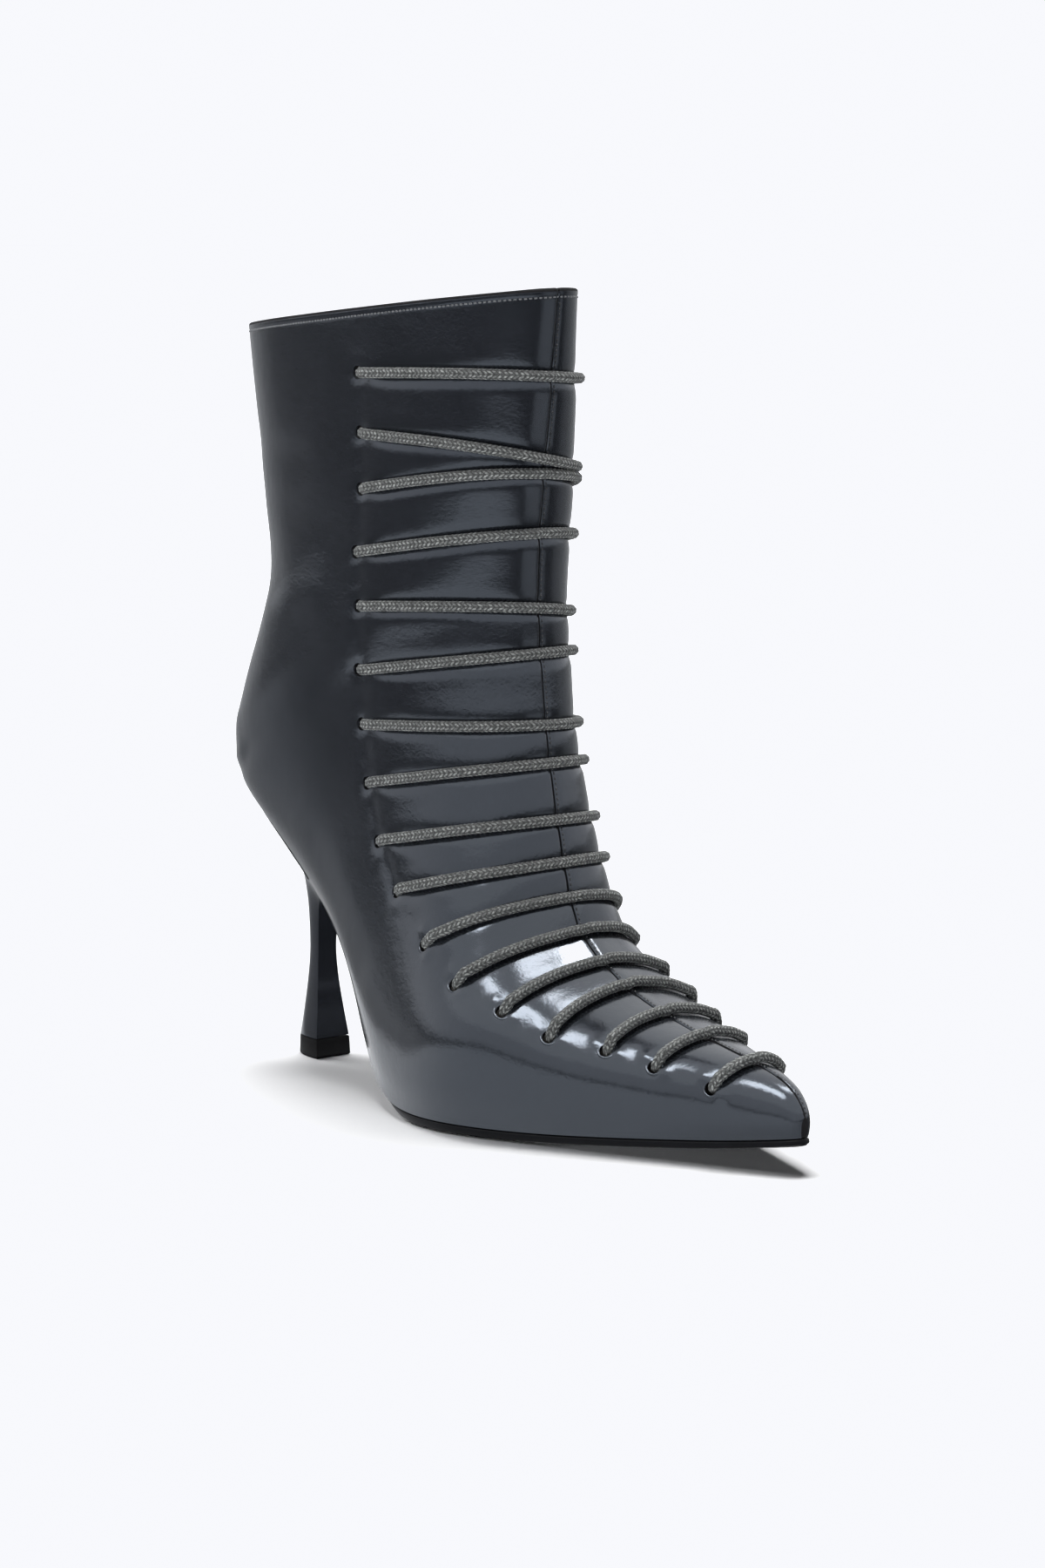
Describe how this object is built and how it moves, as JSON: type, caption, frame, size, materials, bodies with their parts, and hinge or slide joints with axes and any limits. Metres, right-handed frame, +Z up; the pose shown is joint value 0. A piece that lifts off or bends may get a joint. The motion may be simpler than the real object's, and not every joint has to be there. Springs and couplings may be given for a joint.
{
  "type": "heeled ankle boot",
  "caption": "Pointed ankle boot for the right foot: hollow glossy upper with a ladder of cords over its front, thin arched sole, and a slender flared high heel with a rubber tip.",
  "frame": {"origin": "middle of the heel's rubber top piece, on the floor", "axes": "+X to the toe, +Y to the inner (medial) side of the right foot, +Z up"},
  "size_m": [0.2474, 0.0858, 0.2422],
  "materials": {
    "patent_leather": "high gloss",
    "sole_black": "satin",
    "insole_lining": "matte",
    "heel_cover": "high gloss",
    "black_rubber": "matte",
    "waxed_cord": "waxed"
  },
  "bodies": {
    "root": {"upper": "patent_leather", "outsole": "sole_black", "insole": "insole_lining", "heel": "heel_cover", "top_piece": "black_rubber", "lace_bar_01": "waxed_cord", "lace_bar_02": "waxed_cord", "lace_bar_03": "waxed_cord", "lace_bar_04": "waxed_cord", "lace_bar_05": "waxed_cord", "lace_bar_06": "waxed_cord", "lace_bar_07": "waxed_cord", "lace_bar_08": "waxed_cord", "lace_bar_09": "waxed_cord", "lace_bar_10": "waxed_cord", "lace_bar_11": "waxed_cord", "lace_bar_12": "waxed_cord", "lace_bar_13": "waxed_cord", "lace_bar_14": "waxed_cord", "lace_bar_15": "waxed_cord", "lace_bar_16": "waxed_cord", "lace_bar_17": "waxed_cord"}
  },
  "joints": []
}
